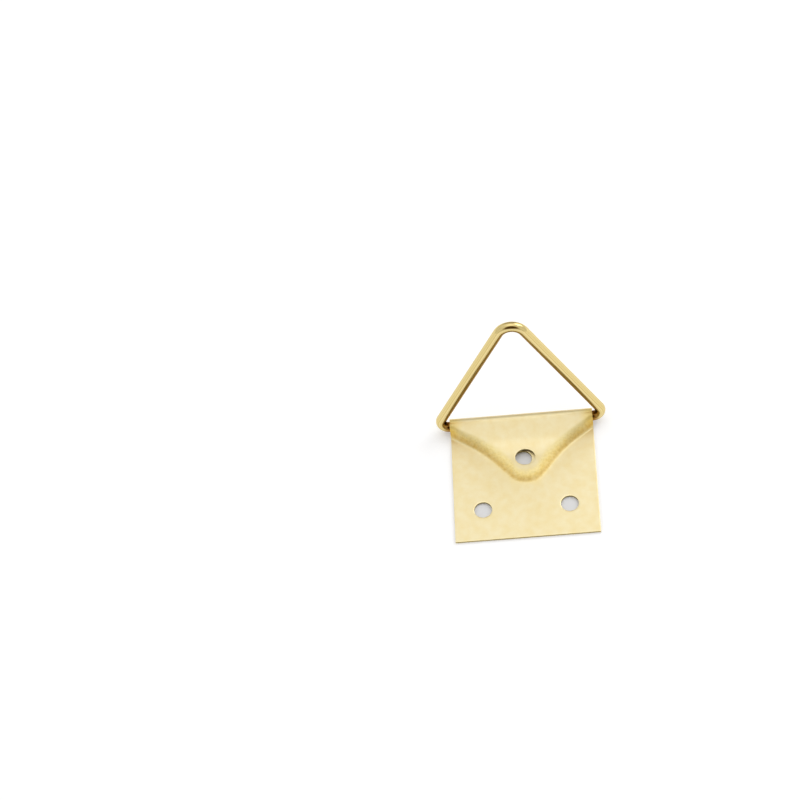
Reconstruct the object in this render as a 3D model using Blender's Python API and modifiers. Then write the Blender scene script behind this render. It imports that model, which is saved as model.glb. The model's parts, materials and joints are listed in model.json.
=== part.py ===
"""Folding picture hanger: a sheet plate folded over the base of a triangular wire ring.

Metres, +Z up. The plate lies on its back in the XY plane with its fold to +Y, and the ring
turns about a line along X inside that fold. The origin is on the back face, midway between
the two lower screw holes.
"""

import math

import bmesh
import bpy
from mathutils import Vector

# Plate, its fold and its flap
PLATE_WIDTH = 0.0250
PLATE_HEIGHT = 0.02445  # bottom edge to the outside of the fold
SHEET_THICKNESS = 0.00035
FLAP_GAP = 0.00015  # between the rear flap and the front sheet pressed over it
FLAP_MARGIN = 0.0005  # flap's edge inside the centre line of the pressed step
RISE_LENGTH = 0.0053  # from the hinge line down to where the front sheet meets the flap
RISE_BLEND = 0.0020  # half the length over which that bend is rounded
FOOT_LENGTH = 0.0015  # the same two sizes at the side edges, where the sheet hugs the wire
FOOT_BLEND = 0.0003

# Pressed step: the V in the front sheet that follows the flap's outline, placed by how far its
# points lie below the hinge line. Its sides are shallow from the edges to the knees, then steep.
STEP_SHOULDER_DROP = 0.00115  # where it reaches the side edges
STEP_KNEE_DROP = 0.00525
STEP_KNEE_OFFSET = 0.0067  # from the plate's middle
STEP_KNEE_BLEND = 0.0025  # half the length over which the knee is rounded
STEP_TIP_DROP = 0.01155
STEP_TIP_RADIUS = 0.0032
STEP_TIP_SHIFT = 0.0005  # the tip lies a little to the right of the middle
STEP_WIDTH = 0.00155  # up to the knees, then narrower towards the side edges
STEP_SIDE_WIDTH = 0.00065  # at the side edges

# Screw holes
HOLE_DIAMETER = 0.0031
LOWER_HOLE_SPACING = 0.0150
LOWER_HOLE_MARGIN = 0.0061  # hole centres above the bottom edge
CENTRE_HOLE_DROP = 0.00715  # below the hinge line
CENTRE_HOLE_WIDTH = 0.0035  # pressing has drawn the front sheet's hole wider to the right
CENTRE_HOLE_SHIFT = 0.0003  # of its middle from the plate's middle
FLAP_HOLE_SHIFT = -0.0001  # of the flap's own round hole behind it

# Wire ring, measured on the wire's centre line
WIRE_DIAMETER = 0.0018
WIRE_CLEARANCE = 0.0001  # between the wire and the inside of the fold
RING_HEIGHT = 0.02607  # base to the point where the legs' centre lines would meet
RING_CORNER_RADIUS = 0.00145
RING_APEX_RADIUS = 0.0025
RING_END_PLAY = 0.00004  # from each end of the fold to the start of the corner bend
RING_JOINT_GAP = 0.0004  # between the wire's two cut ends, hidden in the fold
RING_ANGLE = math.radians(80.4)  # from the plate's +Y direction, as the ring stands at rest

CUT_OVERRUN = 0.001

# Finishes
PLATE_COLOUR = (0.87, 0.70, 0.36)
PLATE_ROUGHNESS = 0.32
RING_COLOUR = (0.82, 0.62, 0.27)
RING_ROUGHNESS = 0.16

# Mesh density
COLUMNS = 40
FOLD_APPROACH = 0.0006  # the rows next to the fold cover at least this much of the sheet
FLAT_ROWS = 3
STEP_ROWS = 6
RISE_ROWS = 8
FOLD_ROWS = 12
FLAP_ROWS = 3
TAPER_ROWS = 3
TIP_ROWS = 5
TIP_FACET_SHARE = 0.5  # of a row, left at each side of the flap's middle for one short end facet
HOLE_SIDES = 32
BEND_STEP = math.radians(10)
WIRE_BEVEL_RESOLUTION = 6

# Worked out from the sizes above
HALF_WIDTH = PLATE_WIDTH / 2
MID_LAYER = SHEET_THICKNESS / 2  # height of the sheet's middle surface where it lies flat
FOLD_INNER_RADIUS = WIRE_DIAMETER / 2 + WIRE_CLEARANCE
FOLD_OUTER_RADIUS = FOLD_INNER_RADIUS + SHEET_THICKNESS
FOLD_MID_RADIUS = FOLD_INNER_RADIUS + SHEET_THICKNESS / 2
BOTTOM_Y = -LOWER_HOLE_MARGIN
HINGE_Y = BOTTOM_Y + PLATE_HEIGHT - FOLD_OUTER_RADIUS
HINGE_Z = FOLD_OUTER_RADIUS
PRESSED_LAYER = MID_LAYER + SHEET_THICKNESS + FLAP_GAP  # middle surface over the flap


def tangent_angle(across, up, radius):
    """Slope of a line from a point that touches a circle, when the two centres lie across and up apart."""
    return math.atan2(up, across) + math.asin(radius / math.hypot(across, up))


FOOT_ANGLE = tangent_angle(FOOT_LENGTH, HINGE_Z - MID_LAYER, FOLD_MID_RADIUS)
FOOT_END_Y = HINGE_Y - FOLD_MID_RADIUS * math.sin(FOOT_ANGLE)
RISE_ANGLE = tangent_angle(RISE_LENGTH, HINGE_Z - PRESSED_LAYER, FOLD_MID_RADIUS)
RISE_END_Y = HINGE_Y - FOLD_MID_RADIUS * math.sin(RISE_ANGLE)
KNEE_Y = HINGE_Y - STEP_KNEE_DROP
TIP_CENTRE_Y = HINGE_Y - STEP_TIP_DROP + STEP_TIP_RADIUS
SHOULDER_ANGLE = math.atan2(STEP_KNEE_DROP - STEP_SHOULDER_DROP, HALF_WIDTH - STEP_KNEE_OFFSET)
FLANK_ANGLE = tangent_angle(STEP_KNEE_OFFSET, KNEE_Y - TIP_CENTRE_Y, STEP_TIP_RADIUS)
FLAP_TIP_RADIUS = STEP_TIP_RADIUS - FLAP_MARGIN
FLAP_TIP_START_Y = TIP_CENTRE_Y - FLAP_TIP_RADIUS * math.cos(FLANK_ANGLE)


def smooth(share):
    """Ease from 0 to 1 with level ends."""
    share = min(max(share, 0), 1)
    return share * share * (3 - 2 * share)


def rounded_bend(past, blend):
    """0 before past = 0 and past after it, with the bend between the two rounded over +-blend."""
    if past <= -blend:
        return 0
    if past >= blend:
        return past
    return (past + blend) ** 2 / (4 * blend)


def step_line(x):
    """Place and slope of the pressed step's middle: a rounded tip, steep flanks, then shallow shoulders."""
    across = abs(x - tip_shift(abs(x)))
    flank_from = STEP_TIP_RADIUS * math.sin(FLANK_ANGLE)
    if across < flank_from:
        drop = math.sqrt(STEP_TIP_RADIUS**2 - across**2)
        return TIP_CENTRE_Y - drop, across / drop
    steep = math.tan(FLANK_ANGLE)
    easing = steep - math.tan(SHOULDER_ANGLE)
    flank = TIP_CENTRE_Y - STEP_TIP_RADIUS * math.cos(FLANK_ANGLE) + (across - flank_from) * steep
    past = across - STEP_KNEE_OFFSET
    turned = min(max((past + STEP_KNEE_BLEND) / (2 * STEP_KNEE_BLEND), 0), 1)
    return flank - easing * rounded_bend(past, STEP_KNEE_BLEND), steep - easing * turned


def step_width(x):
    """Width of the step across its line: even up to the knees, then narrowing to the side edges."""
    narrow_from = STEP_KNEE_OFFSET - STEP_KNEE_BLEND
    narrowed = max((abs(x) - narrow_from) / (HALF_WIDTH - narrow_from), 0)
    return STEP_WIDTH + (STEP_SIDE_WIDTH - STEP_WIDTH) * narrowed


def tip_shift(half_width):
    """How far the outline's middle is moved to the right where its half width is this."""
    return STEP_TIP_SHIFT * (1 - min(half_width / HALF_WIDTH, 1))


def pressed_height(y):
    """Middle surface above the flap: level, then rising to meet the fold."""
    return PRESSED_LAYER + math.tan(RISE_ANGLE) * rounded_bend(y - HINGE_Y + RISE_LENGTH, RISE_BLEND)


def edge_height(y):
    """Middle surface at the side edges: flat, then steeply up and round the wire."""
    if y < FOOT_END_Y:
        return MID_LAYER + math.tan(FOOT_ANGLE) * rounded_bend(y - HINGE_Y + FOOT_LENGTH, FOOT_BLEND)
    return HINGE_Z + math.sqrt(FOLD_MID_RADIUS**2 - (y - HINGE_Y) ** 2)


def front_point(x, row):
    """A point of the front sheet: flat rows, then rows across the step, then rows up to the fold."""
    middle, slope = step_line(x)
    half = step_width(x) / 2 * math.hypot(1, slope)
    row_start = min(middle - half, HINGE_Y - FOOT_LENGTH - FOOT_BLEND)
    row_end = min(middle + half, RISE_END_Y - FOLD_APPROACH)
    if row <= FLAT_ROWS:
        y = BOTTOM_Y + (row_start - BOTTOM_Y) * row / FLAT_ROWS
    elif row <= FLAT_ROWS + STEP_ROWS:
        y = row_start + (row_end - row_start) * (row - FLAT_ROWS) / STEP_ROWS
    else:
        y = row_end + (RISE_END_Y - row_end) * (row - FLAT_ROWS - STEP_ROWS) / RISE_ROWS
    pressed = smooth((y - middle + half) / (2 * half)) * (pressed_height(y) - MID_LAYER)
    return Vector((x, y, max(MID_LAYER + pressed, edge_height(y))))


def fold_point(x, row):
    """A point of the fold, which goes round the wire from the front sheet to the flap."""
    turn = -RISE_ANGLE + (math.pi + RISE_ANGLE) * row / FOLD_ROWS
    y = HINGE_Y + FOLD_MID_RADIUS * math.sin(turn)
    z = HINGE_Z + FOLD_MID_RADIUS * math.cos(turn)
    return Vector((x, y, z))


def flap_half_width(y):
    """Half the flap's width between the hinge line and its tip, inside the step by FLAP_MARGIN."""
    flank = FLAP_TIP_RADIUS * math.sin(FLANK_ANGLE) + (y - FLAP_TIP_START_Y) / math.tan(FLANK_ANGLE)
    above_knee = y - KNEE_Y - FLAP_MARGIN / math.cos(SHOULDER_ANGLE)
    shoulder = STEP_KNEE_OFFSET + above_knee / math.tan(SHOULDER_ANGLE)
    return min(max(flank, shoulder), HALF_WIDTH)


def flap_point(width_share, row):
    """A point of the flap, which narrows past its knees to a rounded tip."""
    if row <= FLAP_ROWS:
        y = HINGE_Y - STEP_KNEE_DROP * row / FLAP_ROWS
        half = flap_half_width(y)
    elif row <= FLAP_ROWS + TAPER_ROWS:
        y = KNEE_Y + (FLAP_TIP_START_Y - KNEE_Y) * (row - FLAP_ROWS) / TAPER_ROWS
        half = flap_half_width(y)
    else:
        past = (row - FLAP_ROWS - TAPER_ROWS) / (TIP_ROWS + TIP_FACET_SHARE)
        y = TIP_CENTRE_Y - FLAP_TIP_RADIUS * math.cos(FLANK_ANGLE * (1 - past))
        half = FLAP_TIP_RADIUS * math.sin(FLANK_ANGLE * (1 - past))
    return Vector((half * width_share + tip_shift(half), y, MID_LAYER))


def sheet_point(column, row):
    """Where a point of the flat blank goes once the sheet is pressed and folded."""
    width_share = 2 * column / COLUMNS - 1
    x = HALF_WIDTH * width_share
    fold_start = FLAT_ROWS + STEP_ROWS + RISE_ROWS
    if row <= fold_start:
        return front_point(x, row)
    if row <= fold_start + FOLD_ROWS:
        return fold_point(x, row - fold_start)
    return flap_point(width_share, row - fold_start - FOLD_ROWS)


def brass(name, colour, roughness):
    """A plated brass finish."""
    material = bpy.data.materials.new(name)
    material.use_nodes = True
    shader = material.node_tree.nodes["Principled BSDF"]
    shader.inputs["Base Color"].default_value = (*colour, 1)
    shader.inputs["Metallic"].default_value = 1
    shader.inputs["Roughness"].default_value = roughness
    material.diffuse_color = (*colour, 1)
    return material


def hole_cutter(name, width, x, y, bottom, top, collection):
    """A closed cylinder along Z, round or wider along X, that a Boolean takes out of the plate."""
    mesh = bpy.data.meshes.new(name)
    shape = bmesh.new()
    bmesh.ops.create_cone(
        shape,
        cap_ends=True,
        segments=HOLE_SIDES,
        radius1=HOLE_DIAMETER / 2,
        radius2=HOLE_DIAMETER / 2,
        depth=top - bottom,
    )
    shape.to_mesh(mesh)
    shape.free()
    cutter = bpy.data.objects.new(name, mesh)
    cutter.scale.x = width / HOLE_DIAMETER
    cutter.location = (x, y, (top + bottom) / 2)
    cutter.hide_render = True
    cutter.display_type = "WIRE"
    collection.objects.link(cutter)
    return cutter


def make_plate(parts, cutters):
    """The sheet: front plate with its pressed step, fold round the wire, and rear flap."""
    rows = FLAT_ROWS + STEP_ROWS + RISE_ROWS + FOLD_ROWS + FLAP_ROWS + TAPER_ROWS + TIP_ROWS
    sheet = bmesh.new()
    bmesh.ops.create_grid(sheet, x_segments=COLUMNS, y_segments=rows, size=1)
    for vertex in sheet.verts:
        column = round((vertex.co.x + 1) / 2 * COLUMNS)
        row = round((vertex.co.y + 1) / 2 * rows)
        vertex.co = sheet_point(column, row)
    mesh = bpy.data.meshes.new("hanger_plate")
    sheet.to_mesh(mesh)
    sheet.free()
    mesh.shade_smooth()
    mesh.materials.append(brass("plate_brass", PLATE_COLOUR, PLATE_ROUGHNESS))

    plate = bpy.data.objects.new("hanger_plate", mesh)
    parts.objects.link(plate)
    wall = plate.modifiers.new("sheet", "SOLIDIFY")
    wall.thickness = SHEET_THICKNESS
    wall.offset = 0
    wall.use_even_offset = True

    above = FOLD_OUTER_RADIUS * 2 + CUT_OVERRUN
    below = -CUT_OVERRUN
    between = SHEET_THICKNESS + FLAP_GAP / 2
    half_spacing = LOWER_HOLE_SPACING / 2
    centre_y = HINGE_Y - CENTRE_HOLE_DROP
    holes = (
        ("left_hole", HOLE_DIAMETER, -half_spacing, 0, below, above),
        ("right_hole", HOLE_DIAMETER, half_spacing, 0, below, above),
        ("centre_hole", CENTRE_HOLE_WIDTH, CENTRE_HOLE_SHIFT, centre_y, between, above),
        ("flap_hole", HOLE_DIAMETER, FLAP_HOLE_SHIFT, centre_y, below, between),
    )
    for name, width, x, y, bottom, top in holes:
        cut = plate.modifiers.new(name, "BOOLEAN")
        cut.operation = "DIFFERENCE"
        cut.solver = "EXACT"
        cut.object = hole_cutter(name + "_cutter", width, x, y, bottom, top, cutters)
    return plate


def arc(centre, radius, start, end):
    """Points along an arc in the ring's plane, both ends included."""
    steps = math.ceil(abs(end - start) / BEND_STEP)
    turns = [start + (end - start) * step / steps for step in range(steps + 1)]
    return [centre + radius * Vector((math.cos(turn), math.sin(turn))) for turn in turns]


def ring_path():
    """Centre line of the wire, from one cut end round the triangle to the other."""
    tangent_x = HALF_WIDTH + RING_END_PLAY
    corner_centre = Vector((tangent_x, RING_CORNER_RADIUS))
    # The leg touches both the corner's circle and the line to the apex point.
    to_apex = Vector((0, RING_HEIGHT)) - corner_centre
    lean = math.atan2(-to_apex.x, to_apex.y) + math.asin(RING_CORNER_RADIUS / to_apex.length)
    apex_centre = Vector((0, RING_HEIGHT - RING_APEX_RADIUS / math.sin(lean)))
    right = [Vector((RING_JOINT_GAP / 2, 0))]
    right += arc(corner_centre, RING_CORNER_RADIUS, -math.pi / 2, lean)
    apex = arc(apex_centre, RING_APEX_RADIUS, lean, math.pi - lean)
    left = [Vector((-point.x, point.y)) for point in reversed(right)]
    return right + apex + left


def make_ring(parts):
    """The triangular ring, bent from one length of wire whose ends meet inside the fold."""
    path = ring_path()
    curve = bpy.data.curves.new("wire_ring", "CURVE")
    curve.dimensions = "3D"
    curve.bevel_depth = WIRE_DIAMETER / 2
    curve.bevel_resolution = WIRE_BEVEL_RESOLUTION
    curve.use_fill_caps = True
    spline = curve.splines.new("POLY")
    spline.points.add(len(path) - 1)
    for point, place in zip(spline.points, path):
        point.co = (place.x, place.y, 0, 1)
    spline.use_smooth = True
    curve.materials.append(brass("ring_brass", RING_COLOUR, RING_ROUGHNESS))

    ring = bpy.data.objects.new("wire_ring", curve)
    ring.location = (0, HINGE_Y, HINGE_Z)
    ring.rotation_euler = (RING_ANGLE, 0, 0)
    parts.objects.link(ring)
    return ring


def main():
    for old in list(bpy.data.objects):
        bpy.data.objects.remove(old, do_unlink=True)
    parts = bpy.data.collections.new("folding_picture_hanger")
    cutters = bpy.data.collections.new("cutters")
    for collection in (parts, cutters):
        bpy.context.scene.collection.children.link(collection)
    make_plate(parts, cutters)
    make_ring(parts)


main()
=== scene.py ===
"""The looks of the folding picture hanger: a folded brass plate and its triangular wire ring."""
import json
import math

import bmesh
import bpy
from mathutils import Matrix, Vector


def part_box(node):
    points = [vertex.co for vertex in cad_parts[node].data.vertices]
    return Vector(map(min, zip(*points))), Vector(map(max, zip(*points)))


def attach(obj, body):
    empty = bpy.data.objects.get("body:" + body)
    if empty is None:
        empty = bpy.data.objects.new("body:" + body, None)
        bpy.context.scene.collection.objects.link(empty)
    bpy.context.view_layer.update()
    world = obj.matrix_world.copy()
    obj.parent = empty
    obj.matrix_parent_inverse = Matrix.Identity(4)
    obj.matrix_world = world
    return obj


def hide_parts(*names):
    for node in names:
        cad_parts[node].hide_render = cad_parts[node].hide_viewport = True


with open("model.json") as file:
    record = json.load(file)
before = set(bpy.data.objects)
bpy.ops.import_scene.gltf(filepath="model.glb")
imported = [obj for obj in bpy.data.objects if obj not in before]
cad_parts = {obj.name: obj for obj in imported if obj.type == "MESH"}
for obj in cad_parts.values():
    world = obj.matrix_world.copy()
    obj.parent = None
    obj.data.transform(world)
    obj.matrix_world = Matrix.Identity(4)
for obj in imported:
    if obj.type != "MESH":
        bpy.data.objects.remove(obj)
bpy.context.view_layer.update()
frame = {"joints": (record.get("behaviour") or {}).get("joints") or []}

# Places from the frame
PLATE_LOW, PLATE_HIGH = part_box("hanger_plate")
HINGE = Vector(frame["joints"][0]["pos_m"])
FOLD_OUTER_RADIUS = PLATE_HIGH.y - HINGE.y

# Plate
HALF_WIDTH = 0.0125
SHEET_THICKNESS = 0.00035
FLAP_GAP = 0.00015  # behind the front sheet
FLAP_MARGIN = 0.0005  # from the step's outline in to the flap's
RISE_LENGTH = 0.0053  # below the hinge line, where the pressed sheet starts to rise to the fold
RISE_BLEND = 0.0020
FOOT_LENGTH = 0.0015  # the same for the sheet beside the step
FOOT_BLEND = 0.0003
MID_LAYER = SHEET_THICKNESS / 2
PRESSED_LAYER = MID_LAYER + SHEET_THICKNESS + FLAP_GAP
FOLD_RADIUS = FOLD_OUTER_RADIUS - SHEET_THICKNESS / 2  # of the sheet's middle surface

# Pressed step, below the hinge line
STEP_SHOULDER_DROP = 0.00115
STEP_KNEE_DROP = 0.00525
STEP_KNEE_OFFSET = 0.0067
STEP_KNEE_BLEND = 0.0025
STEP_TIP_DROP = 0.01155
STEP_TIP_RADIUS = 0.0032
STEP_TIP_SHIFT = 0.0005
STEP_WIDTH = 0.0022
STEP_SIDE_WIDTH = 0.0008
STEP_LOW_SHARE = 0.3  # of the width, below the middle line
STEP_EASE = 4  # above 2 the step is steeper on its low side and rounder above
KNEE_STEPS = 6
TIP_STEPS = 16

# Holes
HOLE_RADIUS = 0.00155
LOWER_HOLE_OFFSET = 0.0075
CENTRE_HOLE_DROP = 0.00715
CENTRE_HOLE_WIDTH = 0.0035
CENTRE_HOLE_SHIFT = 0.0003
FLAP_HOLE_SHIFT = -0.0001
RIM_BAND = 0.0002  # of even faces round each hole
RIM_DISH = 0.00002  # how far the punch has drawn the rim in
HOLE_SIDES = 48

# Wire ring
WIRE_RADIUS = 0.0009
RING_HEIGHT = 0.02607  # base to the point where the legs' centre lines would meet
RING_CORNER_RADIUS = 0.00145
RING_APEX_RADIUS = 0.0025
RING_END_PLAY = 0.00004
RING_JOINT_GAP = 0.0004
RING_ANGLE = math.radians(80.4)
WIRE_SIDES = 48
BEND_STEPS = 20

# Mesh of the sheet
CELL = 0.0002
NEAR = CELL / 20  # for finding points by their place
MERGE = NEAR / 10  # points nearer than this become one
FOLD_STEPS = 28
BEND_SEGMENTS = 32
FLAP_ROWS = 12
EDGE_ROUNDING = 0.00005
EDGE_SEGMENTS = 2
SHARP = math.radians(50)
SMOOTHING = 0.5
SMOOTHING_ROUNDS = 3
REACH = 0.02  # of the pressing tools to each side, and at least that far down

# Finish, where a noise is its scale and detail
WHITE = (1, 1, 1)
GRAIN = (7000, 2)
GRAIN_DEPTH = 0.00001
PLATE_ROUGHNESS = 0.42
PLATE_GRAIN = 0.2
BLOTCHES = (700, 5)
BLOTCH_STOPS = [(0.3, (0.915, 0.81, 0.52)), (0.75, (0.88, 0.74, 0.4))]
PRESSING = "pressing"  # a third at the low side of the step, two thirds at its high side
PRESSING_SPAN = 3  # step widths that the mark runs over
STRETCHED_ROUGHNESS = 0.75
# share that blends in the step's colour: the pressed metal's duller tone and its painted shade
STRETCH_AND_SHADE_STOPS = [
    (0.16, 0),
    (0.27, 0.12),
    (0.33, 0.35),
    (0.37, 0.8),
    (0.42, 1),
    (0.55, 0.9),
    (0.64, 0.65),
    (0.74, 0),
]
# the pressed metal's own tone, with painted shade darkest just below the step's middle line
STEP_TONE_AND_SHADE_COLOURS = [
    (0.33, (0.97, 0.81, 0.38)),
    (0.41, (0.86, 0.66, 0.25)),
    (0.5, (0.93, 0.76, 0.31)),
    (0.6, (1, 0.87, 0.43)),
]
PATCHES = (1500, 3)
PATCH_STOPS = [(0.3, (0.7, 0.7, 0.7)), (0.65, WHITE)]
SPECKS = (2500, 2)
SPECK_STOPS = [(0.35, (0.92, 0.9, 0.85)), (0.6, WHITE)]
CUT_ROUGHNESS = 0.45
CUT_GRAIN = 0.3
MOTTLE = (4000, 2)
# darker colour: partly the sheared metal's own, partly painted shade in the hole walls
CUT_TONE_AND_SHADE_STOPS = [(0.3, (0.5, 0.4, 0.17)), (0.7, (0.36, 0.28, 0.1))]
AROUND = "around"  # place round the wire, on a circle of radius 1, +X to the ring's inside
DRAWN_LINES = (5, 3)
DRAWN_STOPS = [(0.38, (0.66, 0.51, 0.18)), (0.6, (0.81, 0.66, 0.32))]
INSIDE_REFLECTION_STOPS = [(0.12, WHITE), (0.42, (0.58, 0.44, 0.25))]  # painted dark reflection, darker and browner on the wire's inside
SMEARS = (500, 4)
RING_SMOOTHEST = 0.04
RING_ROUGHEST = 0.2
RING_GRAIN = 0.1
# painted shade where the wire enters the fold, on the wire and on the sheet
WIRE_FOLD_SHADE = (0.5, 0.3, 0.1)
WIRE_FOLD_SHADE_REACH = 0.0016
SHEET_FOLD_SHADE = (1, 0.93, 0.65)
SHEET_FOLD_SHADE_REACH = 0.0028
FOLD_SHADE_SHARE = 0.55  # of its reach, before the painted shade starts to fade
MIX_SHARE, MIX_FIRST, MIX_SECOND, MIX_RESULT = 0, 6, 7, 2  # the Mix node's sockets for colours

# Camera
CAMERA_AIM = Vector((-0.02132, 0.02447, 0))
CAMERA_DISTANCE = 0.53288
CAMERA_AZIMUTH = math.radians(7.37)
CAMERA_ELEVATION = math.radians(55.65)
CAMERA_ROLL = math.radians(-10.73)
CAMERA_LENS = 135  # mm
CAMERA_NEAR = 0.01
CAMERA_FAR = 10

# Table and lamp
FLOOR_SIZE = 3
FLOOR_GAP = 0.00008  # below the plate's back face, so that the two don't fight
FLOOR_COLOUR = (0.84, 0.85, 0.87)
FLOOR_OWN_LIGHT = 0.3
FLOOR_FADE = 0.001  # inwards from the plate's edges
LAMP_FROM = Vector((0.6, 0.5, 0.64))
LAMP_DISTANCE = 0.6
LAMP_SIZE = 0.35
LAMP_POWER = 0.7

# Sky, by the cosine of the angle to each side
BRIGHT_SIDE = Vector((0, 0.08, 1))
BRIGHT_STOPS = [
    (0.57, (0.82, 0.82, 0.82)),
    (0.82, (0.92, 0.92, 0.92)),
    (0.93, (1.08, 1.08, 1.08)),
    (0.98, (1.38, 1.38, 1.38)),
]
DARK_SIDE = Vector((0.03, -0.76, 0.65))
DARK_STOPS = [
    (0.78, WHITE),
    (0.85, (0.73, 0.69, 0.6)),
    (0.9, (0.3, 0.21, 0.1)),
    (0.94, (0.1, 0.06, 0.02)),
]
BACK_SIDE = Vector((0, 0.98, 0.2))
BACK_STOPS = [(0.85, WHITE), (0.93, (0.58, 0.55, 0.48)), (0.97, (0.48, 0.42, 0.33))]


def tangent_angle(across, up, radius):
    """Slope of a line from a point that touches a circle, whose centre lies across and up from it."""
    return math.atan2(up, across) + math.asin(radius / math.hypot(across, up))


RISE_ANGLE = tangent_angle(RISE_LENGTH, HINGE.z - PRESSED_LAYER, FOLD_RADIUS)
FOOT_ANGLE = tangent_angle(FOOT_LENGTH, HINGE.z - MID_LAYER, FOLD_RADIUS)
RISE_END = HINGE.y - FOLD_RADIUS * math.sin(RISE_ANGLE)
SHOULDER_ANGLE = math.atan2(STEP_KNEE_DROP - STEP_SHOULDER_DROP, HALF_WIDTH - STEP_KNEE_OFFSET)
FLANK_ANGLE = tangent_angle(
    STEP_KNEE_OFFSET, STEP_TIP_DROP - STEP_TIP_RADIUS - STEP_KNEE_DROP, STEP_TIP_RADIUS
)
TIP_CENTRE_Y = HINGE.y - STEP_TIP_DROP + STEP_TIP_RADIUS
CENTRE_HOLE_Y = HINGE.y - CENTRE_HOLE_DROP
HOLES = [
    (Vector((-LOWER_HOLE_OFFSET, 0, MID_LAYER)), 2 * HOLE_RADIUS),
    (Vector((LOWER_HOLE_OFFSET, 0, MID_LAYER)), 2 * HOLE_RADIUS),
    (Vector((CENTRE_HOLE_SHIFT, CENTRE_HOLE_Y, MID_LAYER)), CENTRE_HOLE_WIDTH),
]


def add(name, primitive, stretch=(1, 1, 1), **settings):
    """A primitive as the only selected object, with its place and size moved into its mesh."""
    bpy.ops.object.select_all(action="DESELECT")
    primitive(**settings)
    piece = bpy.context.object
    piece.scale = stretch
    piece.name = name
    piece.data.name = name
    bpy.ops.object.transform_apply(location=True, rotation=True, scale=True)
    return piece


def edit(piece):
    """Opens a piece in edit mode."""
    bpy.ops.object.select_all(action="DESELECT")
    piece.select_set(True)
    bpy.context.view_layer.objects.active = piece
    bpy.ops.object.mode_set(mode="EDIT")


def close():
    """Leaves edit mode."""
    bpy.ops.object.mode_set(mode="OBJECT")


def pick(kind, test):
    """In edit mode, selects only the vertices, edges or faces that pass the test."""
    bpy.ops.mesh.select_all(action="DESELECT")
    bpy.ops.mesh.select_mode(type=kind)
    shape = bmesh.from_edit_mesh(bpy.context.object.data)
    if kind == "VERT":
        for vertex in shape.verts:
            vertex.select = test(vertex.co)
    elif kind == "EDGE":
        for edge in shape.edges:
            edge.select = all(test(vertex.co) for vertex in edge.verts)
    else:
        for face in shape.faces:
            face.select = test(face.calc_center_median())
    shape.select_flush_mode()
    bmesh.update_edit_mesh(bpy.context.object.data)


def pick_open(test):
    """In edit mode, selects only the open edges whose middle passes the test."""
    bpy.ops.mesh.select_all(action="DESELECT")
    bpy.ops.mesh.select_mode(type="EDGE")
    shape = bmesh.from_edit_mesh(bpy.context.object.data)
    for edge in shape.edges:
        middle = (edge.verts[0].co + edge.verts[1].co) / 2
        edge.select = not edge.is_manifold and test(middle)
    shape.select_flush_mode()
    bmesh.update_edit_mesh(bpy.context.object.data)


def pull(distance):
    """In edit mode, extrudes what is selected by a distance."""
    bpy.ops.mesh.extrude_region_move(TRANSFORM_OT_translate={"value": distance})


def apply(piece, kind, **settings):
    """Adds a modifier with these settings and applies it."""
    modifier = piece.modifiers.new(kind.lower(), kind)
    for name, value in settings.items():
        setattr(modifier, name, value)
    bpy.ops.object.select_all(action="DESELECT")
    piece.select_set(True)
    bpy.context.view_layer.objects.active = piece
    bpy.ops.object.modifier_apply(modifier=modifier.name)


def remove(*tools):
    """Takes away the tools that shaped a piece."""
    for tool in tools:
        bpy.data.objects.remove(tool, do_unlink=True)


def tongue_rows(margin):
    """The step's outline moved inwards by margin, as (y, left, right) from the knees to the tip."""
    radius = STEP_TIP_RADIUS - margin
    turn = (SHOULDER_ANGLE + FLANK_ANGLE) / 2
    back_off = margin / math.cos((FLANK_ANGLE - SHOULDER_ANGLE) / 2)
    knee_x = STEP_KNEE_OFFSET - back_off * math.sin(turn)
    knee_y = HINGE.y - STEP_KNEE_DROP + back_off * math.cos(turn)
    knee = Vector((knee_x, knee_y))
    outer = Vector((math.cos(SHOULDER_ANGLE), math.sin(SHOULDER_ANGLE))) * STEP_KNEE_BLEND
    inner = Vector((math.cos(FLANK_ANGLE), math.sin(FLANK_ANGLE))) * -STEP_KNEE_BLEND
    points = []
    for step in range(KNEE_STEPS + 1):
        share = step / KNEE_STEPS
        points.append(knee + outer * (1 - share) ** 2 + inner * share**2)
    for step in range(TIP_STEPS):
        angle = FLANK_ANGLE * (1 - step / TIP_STEPS)
        points.append(Vector((radius * math.sin(angle), TIP_CENTRE_Y - radius * math.cos(angle))))
    rows = []
    for half, y in points:
        middle = STEP_TIP_SHIFT * (1 - min(half / HALF_WIDTH, 1))
        rows.append((y, middle - half, middle + half))
    return rows


def draw_in(start, rows):
    """In edit mode, pulls the selected edges on through rows of (y, left, right)."""
    y, left, right = start
    for next_y, next_left, next_right in rows:
        middle = (next_left + next_right) / 2
        pull((middle - (left + right) / 2, next_y - y, 0))
        bpy.ops.transform.resize(
            value=((next_right - next_left) / (right - left), 1, 1),
            center_override=(middle, next_y, MID_LAYER),
        )
        y, left, right = next_y, next_left, next_right


def step_line(x):
    """Height and slope of the step's middle line: round tip, steep flanks, shallow shoulders."""
    across = abs(x - STEP_TIP_SHIFT * (1 - abs(x) / HALF_WIDTH))
    flank_from = STEP_TIP_RADIUS * math.sin(FLANK_ANGLE)
    if across < flank_from:
        drop = math.sqrt(STEP_TIP_RADIUS**2 - across**2)
        return TIP_CENTRE_Y - drop, across / drop
    steep = math.tan(FLANK_ANGLE)
    easing = steep - math.tan(SHOULDER_ANGLE)
    flank = TIP_CENTRE_Y - STEP_TIP_RADIUS * math.cos(FLANK_ANGLE) + (across - flank_from) * steep
    past = max(across - STEP_KNEE_OFFSET + STEP_KNEE_BLEND, 0)
    if past < 2 * STEP_KNEE_BLEND:
        slope = steep - easing * past / (2 * STEP_KNEE_BLEND)
        return flank - easing * past**2 / (4 * STEP_KNEE_BLEND), slope
    return flank - easing * (past - STEP_KNEE_BLEND), steep - easing


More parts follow.
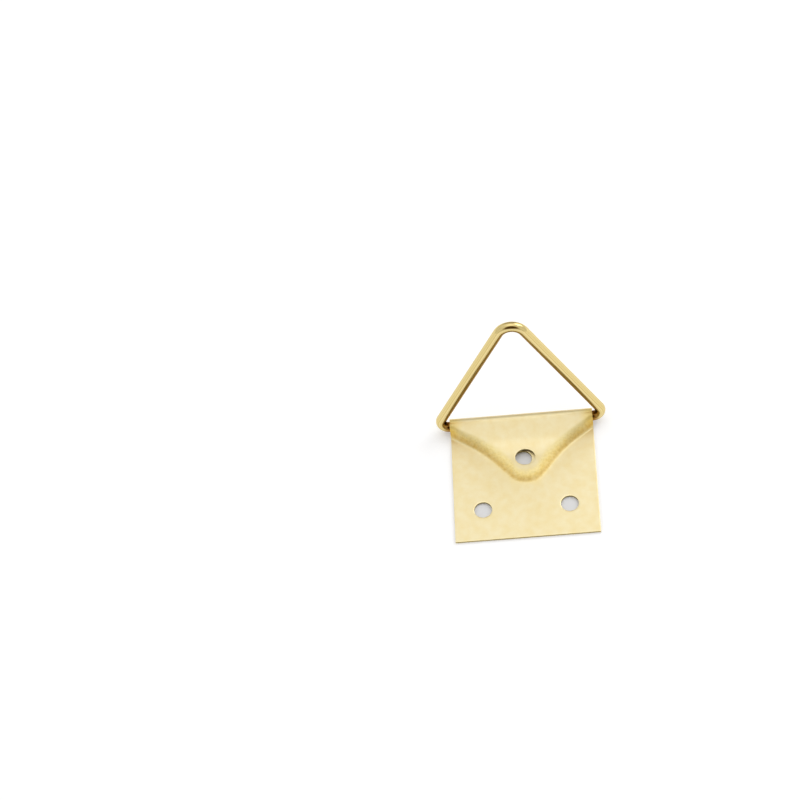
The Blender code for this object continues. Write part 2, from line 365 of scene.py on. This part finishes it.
def up_step(place):
    """Place across the pressed step, 0 at its low side and 1 at its high side."""
    middle, slope = step_line(place.x)
    narrow_from = STEP_KNEE_OFFSET - STEP_KNEE_BLEND
    narrowed = max((abs(place.x) - narrow_from) / (HALF_WIDTH - narrow_from), 0)
    width = (STEP_WIDTH + (STEP_SIDE_WIDTH - STEP_WIDTH) * narrowed) * math.hypot(1, slope)
    return (place.y - middle) / width + STEP_LOW_SHARE


def flat_share(place):
    """1 where the sheet stays flat, 0 over the flap, easing between them across the step."""
    up = min(max(up_step(place), 0), 1)
    return (1 - up) ** STEP_EASE * (1 + STEP_EASE * up)


def make_former(name, foot_drop, layer, angle, blend):
    """A bent strip that the sheet is pressed onto: level, then a slope, then round the wire."""
    foot_y = HINGE.y - foot_drop
    level = REACH + foot_drop
    former = add(
        name,
        bpy.ops.mesh.primitive_plane_add,
        stretch=(2 * REACH, level, 1),
        size=1,
        location=(0, foot_y - level / 2, layer),
    )
    touch = HINGE + FOLD_RADIUS * Vector((0, -math.sin(angle), math.cos(angle)))
    edit(former)
    pick("EDGE", lambda place: place.y > foot_y - NEAR)
    pull((0, touch.y - foot_y, touch.z - layer))
    bpy.ops.mesh.spin(steps=FOLD_STEPS, angle=angle, center=HINGE, axis=(1, 0, 0))
    pick("EDGE", lambda place: abs(place.y - foot_y) < NEAR)
    bpy.ops.mesh.bevel(offset=blend, segments=BEND_SEGMENTS)
    close()
    return former


def from_hole(place, centre, width):
    """How far a place lies from a hole's middle in plan, as on a round hole of the same height."""
    return math.hypot((place.x - centre.x) * 2 * HOLE_RADIUS / width, place.y - centre.y)


def punch_hole(centre, width):
    """In edit mode, opens a hole with an even rim in the grid of the flat sheet."""
    clear = HOLE_RADIUS + RIM_BAND + CELL
    pick("FACE", lambda middle: from_hole(middle, centre, width) < clear)
    bpy.ops.mesh.delete(type="FACE")
    bpy.ops.mesh.select_mode(type="VERT")
    bpy.ops.mesh.select_all(action="DESELECT")
    bpy.ops.mesh.primitive_circle_add(vertices=HOLE_SIDES, radius=HOLE_RADIUS, location=centre)
    bpy.ops.transform.resize(value=(width / (2 * HOLE_RADIUS), 1, 1), center_override=centre)
    pull((0, 0, 0))
    growth = (HOLE_RADIUS + RIM_BAND) / HOLE_RADIUS
    bpy.ops.transform.resize(value=(growth, growth, 1), center_override=centre)
    near = HOLE_RADIUS + RIM_BAND / 2
    far = clear + 2 * CELL
    pick_open(lambda middle: near < from_hole(middle, centre, width) < far)
    bpy.ops.mesh.fill(use_beauty=True)


def make_blank():
    """The flat front sheet, from its bottom edge to the start of the fold, with its three holes."""
    length = RISE_END - PLATE_LOW.y
    blank = add(
        "hanger_sheet",
        bpy.ops.mesh.primitive_grid_add,
        stretch=(2 * HALF_WIDTH, length, 1),
        x_subdivisions=round(2 * HALF_WIDTH / CELL),
        y_subdivisions=round(length / CELL),
        size=1,
        location=(0, PLATE_LOW.y + length / 2, MID_LAYER),
    )
    edit(blank)
    for centre, width in HOLES:
        punch_hole(centre, width)
    close()
    return blank


def press(sheet):
    """Presses the sheet up over the flap and against the wire."""
    off_flap = "off_flap"
    group = sheet.vertex_groups.new(name=off_flap)
    for vertex in sheet.data.vertices:
        group.add([vertex.index], flat_share(vertex.co), "REPLACE")
    rise = make_former("rise_former", RISE_LENGTH, PRESSED_LAYER, RISE_ANGLE, RISE_BLEND)
    apply(
        sheet,
        "SHRINKWRAP",
        target=rise,
        wrap_method="PROJECT",
        use_project_z=True,
        vertex_group=off_flap,
        invert_vertex_group=True,
    )
    foot = make_former("foot_former", FOOT_LENGTH, MID_LAYER, FOOT_ANGLE, FOOT_BLEND)
    apply(sheet, "SHRINKWRAP", target=foot, wrap_method="PROJECT", use_project_z=True)
    remove(rise, foot)
    edit(sheet)
    pick("VERT", lambda place: PLATE_LOW.y + CELL < place.y < RISE_END - CELL)
    bpy.ops.mesh.vertices_smooth(
        factor=SMOOTHING,
        repeat=SMOOTHING_ROUNDS,
        xaxis=False,
        yaxis=False,
        zaxis=True,
    )
    close()
    pressing = sheet.data.color_attributes.new(PRESSING, "FLOAT_COLOR", "POINT")
    for vertex, mark in zip(sheet.data.vertices, pressing.data):
        across = min(max((up_step(vertex.co) + 1) / PRESSING_SPAN, 0), 1)
        mark.color = (across, across, across, 1)


def fold(sheet):
    """Rolls the sheet's top edge round the wire and runs it down behind as the flap."""
    edit(sheet)
    pick("EDGE", lambda place: place.y > RISE_END - NEAR)
    bpy.ops.mesh.spin(steps=FOLD_STEPS, angle=math.pi + RISE_ANGLE, center=HINGE, axis=(1, 0, 0))
    start = Vector((HINGE.y, -HALF_WIDTH, HALF_WIDTH))
    outline = tongue_rows(FLAP_MARGIN)
    shoulders = [start.lerp(Vector(outline[0]), (row + 1) / FLAP_ROWS) for row in range(FLAP_ROWS)]
    draw_in(start, shoulders + outline[1:])
    close()


def make_plate():
    """The sheet: pressed front, fold round the wire, and flap behind."""
    plate = make_blank()
    press(plate)
    fold(plate)
    edit(plate)
    bpy.ops.mesh.select_all(action="SELECT")
    bpy.ops.mesh.remove_doubles(threshold=MERGE)
    bpy.ops.mesh.normals_make_consistent(inside=False)
    close()
    cut = cut_brass_with_shade()
    plate.data.materials.append(plate_brass())
    plate.data.materials.append(cut)
    apply(plate, "SOLIDIFY", thickness=SHEET_THICKNESS, offset=0, material_offset_rim=1)
    punch = add(
        "flap_punch",
        bpy.ops.mesh.primitive_cylinder_add,
        vertices=HOLE_SIDES,
        radius=HOLE_RADIUS,
        depth=SHEET_THICKNESS + FLAP_GAP,
        location=(FLAP_HOLE_SHIFT, CENTRE_HOLE_Y, MID_LAYER),
    )
    punch.data.materials.append(cut)
    apply(
        plate,
        "BOOLEAN",
        object=punch,
        operation="DIFFERENCE",
        solver="EXACT",
        material_mode="TRANSFER",
    )
    remove(punch)
    edit(plate)
    for centre, width in HOLES:
        pick(
            "VERT",
            lambda place: place.z > SHEET_THICKNESS - NEAR
            and from_hole(place, centre, width) < HOLE_RADIUS + RIM_BAND / 2,
        )
        bpy.ops.transform.translate(value=(0, 0, -RIM_DISH))
    close()
    apply(
        plate,
        "BEVEL",
        width=EDGE_ROUNDING,
        segments=EDGE_SEGMENTS,
        limit_method="ANGLE",
        angle_limit=SHARP,
        use_clamp_overlap=True,
    )
    bpy.ops.object.shade_smooth_by_angle(angle=SHARP)
    return plate


def make_ring():
    """One length of wire: base, corner, leg, apex, leg, corner and base again."""
    first_end = Vector((RING_JOINT_GAP / 2, 0, 0))
    corner = Vector((HALF_WIDTH + RING_END_PLAY, RING_CORNER_RADIUS, 0))
    to_apex = Vector((0, RING_HEIGHT, 0)) - corner
    lean = math.atan2(-to_apex.x, to_apex.y) + math.asin(RING_CORNER_RADIUS / to_apex.length)
    apex = Vector((0, RING_HEIGHT - RING_APEX_RADIUS / math.sin(lean), 0))
    outwards = Vector((math.cos(lean), math.sin(lean), 0))
    leg = (apex + RING_APEX_RADIUS * outwards) - (corner + RING_CORNER_RADIUS * outwards)
    base = corner.x - RING_JOINT_GAP / 2
    ring = add(
        "ring_wire",
        bpy.ops.mesh.primitive_circle_add,
        vertices=WIRE_SIDES,
        radius=WIRE_RADIUS,
        location=first_end,
        rotation=(0, math.pi / 2, 0),
    )
    around = ring.data.color_attributes.new(AROUND, "FLOAT_COLOR", "POINT")
    for vertex, mark in zip(ring.data.vertices, around.data):
        mark.color = (vertex.co.y / WIRE_RADIUS, vertex.co.z / WIRE_RADIUS, 0, 1)
    edit(ring)
    bpy.ops.mesh.select_all(action="SELECT")
    axis = (0, 0, -1)
    pull((base, 0, 0))
    bpy.ops.mesh.spin(steps=BEND_STEPS, angle=math.pi / 2 + lean, center=corner, axis=axis)
    pull(leg)
    bpy.ops.mesh.spin(steps=BEND_STEPS, angle=math.pi - 2 * lean, center=apex, axis=axis)
    pull((leg.x, -leg.y, 0))
    other_corner = (-corner.x, corner.y, 0)
    bpy.ops.mesh.spin(steps=BEND_STEPS, angle=math.pi / 2 + lean, center=other_corner, axis=axis)
    pull((base, 0, 0))
    bpy.ops.mesh.edge_face_add()
    pick_open(lambda middle: (middle - first_end).length < 2 * WIRE_RADIUS)
    bpy.ops.mesh.edge_face_add()
    bpy.ops.mesh.select_all(action="SELECT")
    bpy.ops.mesh.remove_doubles(threshold=MERGE)
    bpy.ops.mesh.normals_make_consistent(inside=False)
    bpy.ops.transform.rotate(value=-RING_ANGLE, orient_axis="X", center_override=(0, 0, 0))
    bpy.ops.transform.translate(value=HINGE)
    close()
    bpy.ops.object.shade_smooth_by_angle(angle=SHARP)
    ring.data.materials.append(ring_brass())
    return ring


def new_material(name):
    """A material with its nodes and links."""
    material = bpy.data.materials.new(name)
    material.use_nodes = True
    return material, material.node_tree.nodes, material.node_tree.links


def new_metal(name):
    """A metal with its nodes, links and shader."""
    material, nodes, links = new_material(name)
    shader = nodes["Principled BSDF"]
    shader.inputs["Metallic"].default_value = 1
    return material, nodes, links, shader


def own_place(nodes):
    """The piece's own coordinates."""
    return nodes.new("ShaderNodeTexCoord").outputs["Object"]


def marked(nodes, name):
    """The outputs for what is marked on the piece's points under a name."""
    node = nodes.new("ShaderNodeAttribute")
    node.attribute_name = name
    return node.outputs


def split(nodes, links, place):
    """The outputs for a place's X, Y and Z."""
    node = nodes.new("ShaderNodeSeparateXYZ")
    links.new(place, node.inputs["Vector"])
    return node.outputs


def noise(nodes, links, place, scale, detail):
    """A noise texture over a place."""
    texture = nodes.new("ShaderNodeTexNoise")
    texture.inputs["Scale"].default_value = scale
    texture.inputs["Detail"].default_value = detail
    links.new(place, texture.inputs["Vector"])
    return texture.outputs["Fac"]


def ramp(nodes, links, source, stops):
    """A colour ramp over a source, from (place, colour) stops."""
    node = nodes.new("ShaderNodeValToRGB")
    while len(node.color_ramp.elements) < len(stops):
        node.color_ramp.elements.new(1)
    for element, (place, colour) in zip(node.color_ramp.elements, stops):
        element.position = place
        element.color = (*colour, 1)
    links.new(source, node.inputs["Fac"])
    return node.outputs["Color"]


def calculate(nodes, links, operation, *sources, clamp=False):
    """A Math node on sources or numbers."""
    node = nodes.new("ShaderNodeMath")
    node.operation = operation
    node.use_clamp = clamp
    for socket, source in zip(node.inputs, sources):
        if isinstance(source, (int, float)):
            socket.default_value = source
        else:
            links.new(source, socket)
    return node.outputs["Value"]


def between(nodes, links, share, low, high):
    """A number from low to high, by a share."""
    return calculate(nodes, links, "MULTIPLY_ADD", share, high - low, low)


def combine(nodes, links, operation, *sources):
    """Colours or places put together, channel by channel."""
    node = nodes.new("ShaderNodeVectorMath")
    node.operation = operation
    for socket, source in zip(node.inputs, sources):
        links.new(source, socket)
    return node.outputs["Vector"]


def measure(nodes, links, operation, place, fixed):
    """A number from a place and a fixed place or direction, such as how far they lie apart."""
    node = nodes.new("ShaderNodeVectorMath")
    node.operation = operation
    node.inputs[1].default_value = fixed
    links.new(place, node.inputs[0])
    return node.outputs["Value"]


def blend(nodes, links, share, first, second):
    """A colour from the first to the second, by a share."""
    node = nodes.new("ShaderNodeMix")
    node.data_type = "RGBA"
    links.new(share, node.inputs[MIX_SHARE])
    links.new(first, node.inputs[MIX_FIRST])
    links.new(second, node.inputs[MIX_SECOND])
    return node.outputs[MIX_RESULT]


def add_grain(nodes, links, shader, height, strength):
    """A fine relief on a shader."""
    bump = nodes.new("ShaderNodeBump")
    bump.inputs["Strength"].default_value = strength
    bump.inputs["Distance"].default_value = GRAIN_DEPTH
    links.new(height, bump.inputs["Height"])
    links.new(bump.outputs["Normal"], shader.inputs["Normal"])


def paint_fold_shade(nodes, links, colour, tint, reach):
    """A colour with painted shade where the wire leaves the fold, out to a reach from the wire's
    middle.
    """
    one_side = combine(nodes, links, "ABSOLUTE", own_place(nodes))
    away = measure(nodes, links, "DISTANCE", one_side, (HALF_WIDTH, HINGE.y, HINGE.z))
    share = calculate(nodes, links, "DIVIDE", away, reach)
    fading = ramp(nodes, links, share, [(FOLD_SHADE_SHARE, tint), (1, WHITE)])
    return combine(nodes, links, "MULTIPLY", colour, fading)


def plate_brass():
    """Satin plating with faint warm blotches; along the pressed step the metal is duller and its own
    tone darker, with painted shade darkest on the step's low side, and painted shade at the fold's
    corners.
    """
    material, nodes, links, shader = new_metal("plate_brass")
    place = own_place(nodes)
    colour = ramp(nodes, links, noise(nodes, links, place, *BLOTCHES), BLOTCH_STOPS)
    pressing = marked(nodes, PRESSING)["Fac"]
    across = ramp(nodes, links, pressing, [(stop, (share,) * 3) for stop, share in STRETCH_AND_SHADE_STOPS])
    patches = ramp(nodes, links, noise(nodes, links, place, *PATCHES), PATCH_STOPS)
    # share of the pressed metal's duller finish and of its painted shade
    stretch_shade_share = calculate(nodes, links, "MULTIPLY", across, patches)
    # step colours, with painted shade on the step's low side
    worked_and_shaded = ramp(nodes, links, pressing, STEP_TONE_AND_SHADE_COLOURS)
    specks = ramp(nodes, links, noise(nodes, links, place, *SPECKS), SPECK_STOPS)
    worked_and_shaded = combine(nodes, links, "MULTIPLY", worked_and_shaded, specks)
    colour = blend(nodes, links, stretch_shade_share, colour, worked_and_shaded)
    # painted shade at the fold's corners
    colour = paint_fold_shade(nodes, links, colour, SHEET_FOLD_SHADE, SHEET_FOLD_SHADE_REACH)
    links.new(colour, shader.inputs["Base Color"])
    dull = between(nodes, links, stretch_shade_share, PLATE_ROUGHNESS, STRETCHED_ROUGHNESS)
    links.new(dull, shader.inputs["Roughness"])
    add_grain(nodes, links, shader, noise(nodes, links, place, *GRAIN), PLATE_GRAIN)
    return material


def cut_brass_with_shade():
    """The sheared edge of the sheet: dull and mottled, darker partly by the sheared metal's own
    colour and partly by painted shade, as in the hole walls.
    """
    material, nodes, links, shader = new_metal("cut_brass_with_shade")
    shader.inputs["Roughness"].default_value = CUT_ROUGHNESS
    mottle = noise(nodes, links, own_place(nodes), *MOTTLE)
    links.new(ramp(nodes, links, mottle, CUT_TONE_AND_SHADE_STOPS), shader.inputs["Base Color"])
    add_grain(nodes, links, shader, mottle, CUT_GRAIN)
    return material


def ring_brass():
    """Bright wire with the fine lengthwise lines of drawing, a painted dark reflection on its inside
    and painted shade where it enters the fold.
    """
    material, nodes, links, shader = new_metal("ring_brass")
    around = marked(nodes, AROUND)["Vector"]
    colour = ramp(nodes, links, noise(nodes, links, around, *DRAWN_LINES), DRAWN_STOPS)
    # painted dark reflection: the wire darker and browner on its inside
    inside = ramp(nodes, links, split(nodes, links, around)["X"], INSIDE_REFLECTION_STOPS)
    colour = combine(nodes, links, "MULTIPLY", colour, inside)
    # painted shade where the wire enters the fold
    colour = paint_fold_shade(nodes, links, colour, WIRE_FOLD_SHADE, WIRE_FOLD_SHADE_REACH)
    links.new(colour, shader.inputs["Base Color"])
    place = own_place(nodes)
    smears = noise(nodes, links, place, *SMEARS)
    dull = between(nodes, links, smears, RING_SMOOTHEST, RING_ROUGHEST)
    links.new(dull, shader.inputs["Roughness"])
    add_grain(nodes, links, shader, noise(nodes, links, place, *GRAIN), RING_GRAIN)
    return material


def add_camera():
    """The photograph's view."""
    data = bpy.data.cameras.new("camera")
    data.lens = CAMERA_LENS
    data.clip_start = CAMERA_NEAR
    data.clip_end = CAMERA_FAR
    camera = bpy.data.objects.new("camera", data)
    bpy.context.scene.collection.objects.link(camera)
    turn = Matrix.Rotation(CAMERA_AZIMUTH, 4, "Z")
    lift = Matrix.Rotation(math.pi / 2 - CAMERA_ELEVATION, 4, "X")
    back = Matrix.Translation((0, 0, CAMERA_DISTANCE))
    roll = Matrix.Rotation(CAMERA_ROLL, 4, "Z")
    camera.matrix_world = Matrix.Translation(CAMERA_AIM) @ turn @ lift @ back @ roll
    bpy.context.scene.camera = camera


def seen_or_mirrored(nodes, links):
    """1 for camera, glossy and transmission rays, 0 for the rays that light things."""
    path = nodes.new("ShaderNodeLightPath")
    total = path.outputs["Is Camera Ray"]
    for name in ("Is Glossy Ray", "Is Transmission Ray"):
        total = calculate(nodes, links, "ADD", total, path.outputs[name], clamp=True)
    return total


def open_table(nodes, links):
    """1 on the open table, fading to 0 under the plate, where the screw holes show it in shade."""
    parts = split(nodes, links, own_place(nodes))
    past = []
    for axis, low, high in zip("XY", PLATE_LOW, PLATE_HIGH):
        off_middle = calculate(nodes, links, "SUBTRACT", parts[axis], (low + high) / 2)
        away = calculate(nodes, links, "ABSOLUTE", off_middle)
        past.append(calculate(nodes, links, "SUBTRACT", away, (high - low) / 2 - FLOOR_FADE))
    farther = calculate(nodes, links, "MAXIMUM", *past)
    return calculate(nodes, links, "DIVIDE", farther, FLOOR_FADE, clamp=True)


def add_floor():
    """A white table that keeps the hanger's soft shadow."""
    floor = add(
        "floor",
        bpy.ops.mesh.primitive_plane_add,
        size=FLOOR_SIZE,
        location=(0, 0, -FLOOR_GAP),
    )
    material, nodes, links = new_material("white_table")
    shader = nodes["Principled BSDF"]
    shader.inputs["Base Color"].default_value = (*FLOOR_COLOUR, 1)
    shader.inputs["Roughness"].default_value = 1
    shader.inputs["Specular IOR Level"].default_value = 0
    own_light = calculate(nodes, links, "MULTIPLY", open_table(nodes, links), FLOOR_OWN_LIGHT)
    strength = calculate(nodes, links, "MULTIPLY", seen_or_mirrored(nodes, links), own_light)
    glow = nodes.new("ShaderNodeEmission")
    links.new(strength, glow.inputs["Strength"])
    total = nodes.new("ShaderNodeAddShader")
    links.new(shader.outputs["BSDF"], total.inputs[0])
    links.new(glow.outputs["Emission"], total.inputs[1])
    links.new(total.outputs["Shader"], nodes["Material Output"].inputs["Surface"])
    floor.data.materials.append(material)


def add_lamp():
    """One soft lamp from behind on the right."""
    data = bpy.data.lights.new("lamp", "AREA")
    data.size = LAMP_SIZE
    data.energy = LAMP_POWER
    lamp = bpy.data.objects.new("lamp", data)
    bpy.context.scene.collection.objects.link(lamp)
    direction = LAMP_FROM.normalized()
    lamp.location = direction * LAMP_DISTANCE
    lamp.rotation_euler = direction.to_track_quat("Z", "Y").to_euler()


def light_around(nodes, links, direction, middle, stops):
    """Light by the angle to a direction, from (cosine, light) stops."""
    towards = measure(nodes, links, "DOT_PRODUCT", direction, middle.normalized())
    return ramp(nodes, links, towards, stops)


def add_sky():
    """A pale studio: a white softbox overhead, dark round the camera and low down at the back."""
    world = bpy.data.worlds.new("studio")
    bpy.context.scene.world = world
    world.use_nodes = True
    nodes, links = world.node_tree.nodes, world.node_tree.links
    direction = nodes.new("ShaderNodeTexCoord").outputs["Generated"]
    light = light_around(nodes, links, direction, BRIGHT_SIDE, BRIGHT_STOPS)
    for middle, stops in ((DARK_SIDE, DARK_STOPS), (BACK_SIDE, BACK_STOPS)):
        shade = light_around(nodes, links, direction, middle, stops)
        light = combine(nodes, links, "MULTIPLY", light, shade)
    path = nodes.new("ShaderNodeLightPath")
    seen = combine(nodes, links, "MAXIMUM", light, path.outputs["Is Camera Ray"])
    links.new(seen, nodes["Background"].inputs["Color"])


plate = make_plate()
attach(plate, "plate")
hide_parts("hanger_plate")

ring = make_ring()
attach(ring, "ring")
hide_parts("wire_ring")

add_floor()
add_lamp()
add_sky()
add_camera()
bpy.context.scene.view_settings.view_transform = "Standard"
